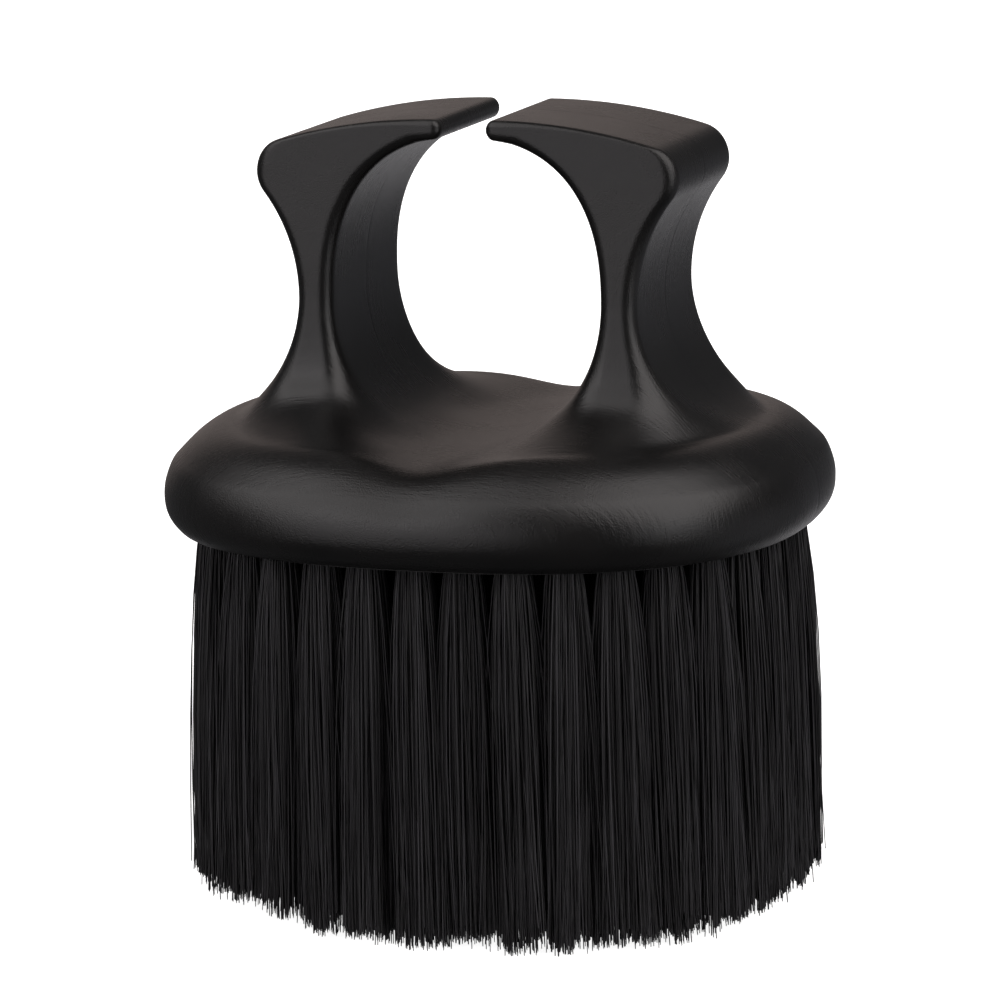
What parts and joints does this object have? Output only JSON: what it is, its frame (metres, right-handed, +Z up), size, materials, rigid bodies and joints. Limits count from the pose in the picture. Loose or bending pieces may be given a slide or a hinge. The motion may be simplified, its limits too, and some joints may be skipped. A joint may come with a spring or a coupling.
{
  "type": "neck duster brush",
  "caption": "Neck duster brush: an oval pad handle with an open finger ring made by two curved prongs, over dense black bristle tufts set in a board.",
  "frame": {"origin": "middle of the plane of the bristle tips, under the centre of the oval body", "axes": "+Z up from the bristle tips to the finger ring, X across the ring from prong to prong, Y along the finger that goes through the ring"},
  "size_m": [0.095, 0.085, 0.1133],
  "materials": {
    "handle_plastic": "satin moulded",
    "board_plastic": "satin moulded",
    "bristle_nylon": "drawn nylon filament",
    "staple_steel": "drawn flat wire"
  },
  "bodies": {
    "root": {"handle": "handle_plastic", "tuft_board": "board_plastic", "outer_tuft_1": "bristle_nylon", "outer_tuft_2": "bristle_nylon", "outer_tuft_3": "bristle_nylon", "outer_tuft_4": "bristle_nylon", "outer_tuft_5": "bristle_nylon", "outer_tuft_6": "bristle_nylon", "outer_tuft_7": "bristle_nylon", "outer_tuft_8": "bristle_nylon", "outer_tuft_9": "bristle_nylon", "outer_tuft_10": "bristle_nylon", "outer_tuft_11": "bristle_nylon", "outer_tuft_12": "bristle_nylon", "outer_tuft_13": "bristle_nylon", "outer_tuft_14": "bristle_nylon", "outer_tuft_15": "bristle_nylon", "outer_tuft_16": "bristle_nylon", "outer_tuft_17": "bristle_nylon", "outer_tuft_18": "bristle_nylon", "outer_tuft_19": "bristle_nylon", "outer_tuft_20": "bristle_nylon", "outer_tuft_21": "bristle_nylon", "outer_tuft_22": "bristle_nylon", "outer_tuft_23": "bristle_nylon", "outer_tuft_24": "bristle_nylon", "outer_tuft_25": "bristle_nylon", "outer_tuft_26": "bristle_nylon", "outer_tuft_27": "bristle_nylon", "outer_tuft_28": "bristle_nylon", "outer_tuft_29": "bristle_nylon", "outer_tuft_30": "bristle_nylon", "outer_tuft_31": "bristle_nylon", "outer_tuft_32": "bristle_nylon", "outer_tuft_33": "bristle_nylon", "outer_tuft_34": "bristle_nylon", "outer_tuft_35": "bristle_nylon", "tuft_row_2": "bristle_nylon", "tuft_row_3": "bristle_nylon", "tuft_row_4": "bristle_nylon", "tuft_row_5": "bristle_nylon", "tuft_row_6": "bristle_nylon", "staple_row_1": "staple_steel", "staple_row_2": "staple_steel", "staple_row_3": "staple_steel", "staple_row_4": "staple_steel", "staple_row_5": "staple_steel", "staple_row_6": "staple_steel"}
  },
  "joints": []
}
